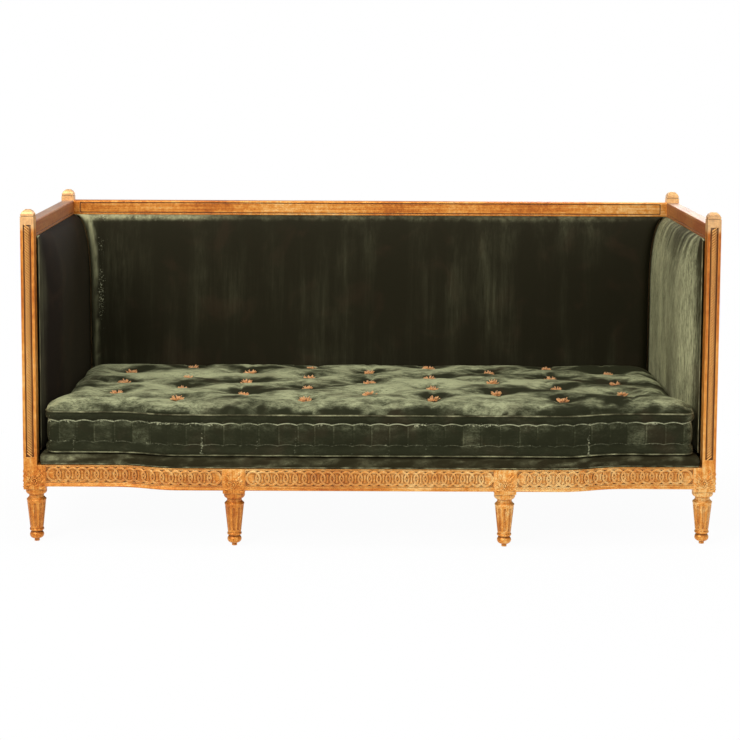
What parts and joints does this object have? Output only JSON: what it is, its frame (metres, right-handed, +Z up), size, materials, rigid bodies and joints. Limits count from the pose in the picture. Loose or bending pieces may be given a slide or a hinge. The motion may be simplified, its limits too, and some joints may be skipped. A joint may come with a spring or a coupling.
{
  "type": "upholstered box sofa",
  "caption": "Neoclassical gilt wood box sofa with a serpentine carved seat rail, turned fluted legs, padded velvet back and arms, and a loose tufted mattress cushion.",
  "frame": {"origin": "middle of the sofa's bounding box, on the floor", "axes": "+Z up, +X to the sitter's left as seen from the front, +Y from the seat front to the back"},
  "size_m": [2, 0.81, 0.97],
  "materials": {
    "giltwood": "satin",
    "beech": "matte",
    "velvet": "matte",
    "jute": "matte",
    "dust_cloth": "matte",
    "tuft_thread": "matte",
    "steel": "satin"
  },
  "bodies": {
    "frame": {"front_left_post": "giltwood", "front_right_post": "giltwood", "rear_left_post": "giltwood", "rear_right_post": "giltwood", "front_left_centre_leg": "giltwood", "front_right_centre_leg": "giltwood", "rear_left_centre_leg": "giltwood", "rear_right_centre_leg": "giltwood", "front_rail_left": "giltwood", "front_rail_middle": "giltwood", "front_rail_right": "giltwood", "left_seat_rail": "giltwood", "right_seat_rail": "giltwood", "rear_rail_left": "beech", "rear_rail_middle": "beech", "rear_rail_right": "beech", "left_cross_rail": "beech", "right_cross_rail": "beech", "crest_rail": "giltwood", "left_arm_rail": "giltwood", "right_arm_rail": "giltwood", "back_tacking_rail": "beech", "left_arm_tacking_rail": "beech", "right_arm_tacking_rail": "beech", "back_left_upright": "beech", "back_right_upright": "beech", "left_arm_upright": "beech", "right_arm_upright": "beech", "corner_blocks": "beech", "corner_block_screws": "steel", "seat_webbing_long": "jute", "seat_webbing_cross": "jute", "back_webbing": "jute", "left_arm_webbing": "jute", "right_arm_webbing": "jute", "seat_deck": "velvet", "back_pad": "velvet", "left_arm_pad": "velvet", "right_arm_pad": "velvet", "outside_back_panel": "velvet", "left_outside_arm_panel": "velvet", "right_outside_arm_panel": "velvet", "dust_cover": "dust_cloth"},
    "mattress": {"mattress": "velvet", "mattress_tufts": "tuft_thread"}
  },
  "joints": [
    {"name": "mattress_lift", "type": "slide", "parent": "frame", "child": "mattress", "axis": [0, 0, 1], "range_m": [0, 0.75]}
  ]
}
